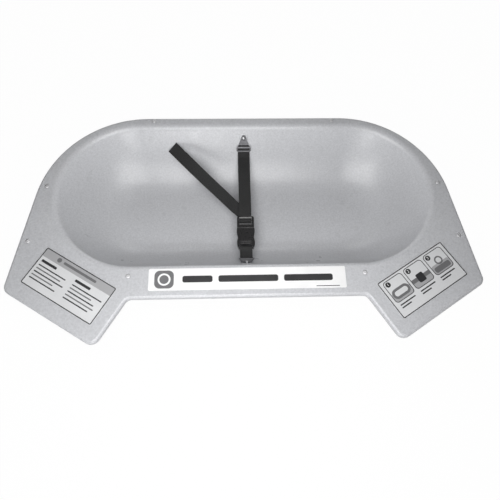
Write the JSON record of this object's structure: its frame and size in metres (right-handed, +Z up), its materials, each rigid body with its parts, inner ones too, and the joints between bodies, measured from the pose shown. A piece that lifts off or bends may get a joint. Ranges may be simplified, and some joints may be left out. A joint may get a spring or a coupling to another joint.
{
  "type": "baby changing station",
  "caption": "Drop-in countertop changing tray: long oval bowl, winged flange with turned-down lip, and a webbing safety belt with a side-release buckle.",
  "frame": {"origin": "centre of the bowl in plan, on the counter plane under the lip", "axes": "+X to the right of a person standing in front, +Y to the back of the counter, +Z up"},
  "size_m": [0.8988, 0.4786, 0.1013],
  "materials": {
    "moulded_grey": "satin moulded polyethylene, neutral grey",
    "stainless": "plain stainless steel",
    "webbing": "black woven nylon webbing",
    "acetal": "black moulded acetal",
    "label_vinyl": "white vinyl, blank"
  },
  "bodies": {
    "tray_body": {"tray": "moulded_grey", "screw_back_left": "stainless", "screw_back_right": "stainless", "screw_side_left": "stainless", "screw_side_right": "stainless", "screw_wing_left": "stainless", "screw_wing_right": "stainless", "screw_front_left": "stainless", "screw_front_right": "stainless", "rear_anchor_plate": "stainless", "rear_anchor_screw": "stainless", "rear_backing_washer": "stainless", "rear_lock_nut": "stainless", "front_anchor_plate": "stainless", "front_anchor_screw": "stainless", "front_backing_washer": "stainless", "front_lock_nut": "stainless", "main_strap": "webbing", "label_left": "label_vinyl", "label_right": "label_vinyl", "label_front": "label_vinyl"},
    "female_half": {"buckle_female": "acetal", "short_strap": "webbing"},
    "male_half": {"buckle_male": "acetal", "strap_tail": "webbing"},
    "left_prong": {"prong_left": "acetal"},
    "right_prong": {"prong_right": "acetal"}
  },
  "joints": [
    {"name": "belt_lift", "type": "hinge", "parent": "tray_body", "child": "female_half", "pos_m": [0, -0.1333, -0.0238], "axis": [1, 0, 0], "range_deg": [0, 22], "deforming": ["main_strap", "short_strap"]},
    {"name": "buckle_release", "type": "slide", "parent": "female_half", "child": "male_half", "axis": [0, 1, 0], "range_m": [0, 0.03], "deforming": ["main_strap", "strap_tail", "prong_left", "prong_right"]},
    {"name": "prong_squeeze_left", "type": "hinge", "parent": "male_half", "child": "left_prong", "pos_m": [-0.0123, -0.064, -0.038], "axis": [0, 0, 1], "range_deg": [0, 10], "stiffness_Nm_per_rad": 0.05},
    {"name": "prong_squeeze_right", "type": "hinge", "parent": "male_half", "child": "right_prong", "pos_m": [0.0123, -0.064, -0.038], "axis": [0, 0, 1], "range_deg": [-10, 0], "stiffness_Nm_per_rad": 0.05}
  ],
  "couplings": [
    {"joint": "prong_squeeze_right", "follows": "prong_squeeze_left", "ratio": -1}
  ]
}
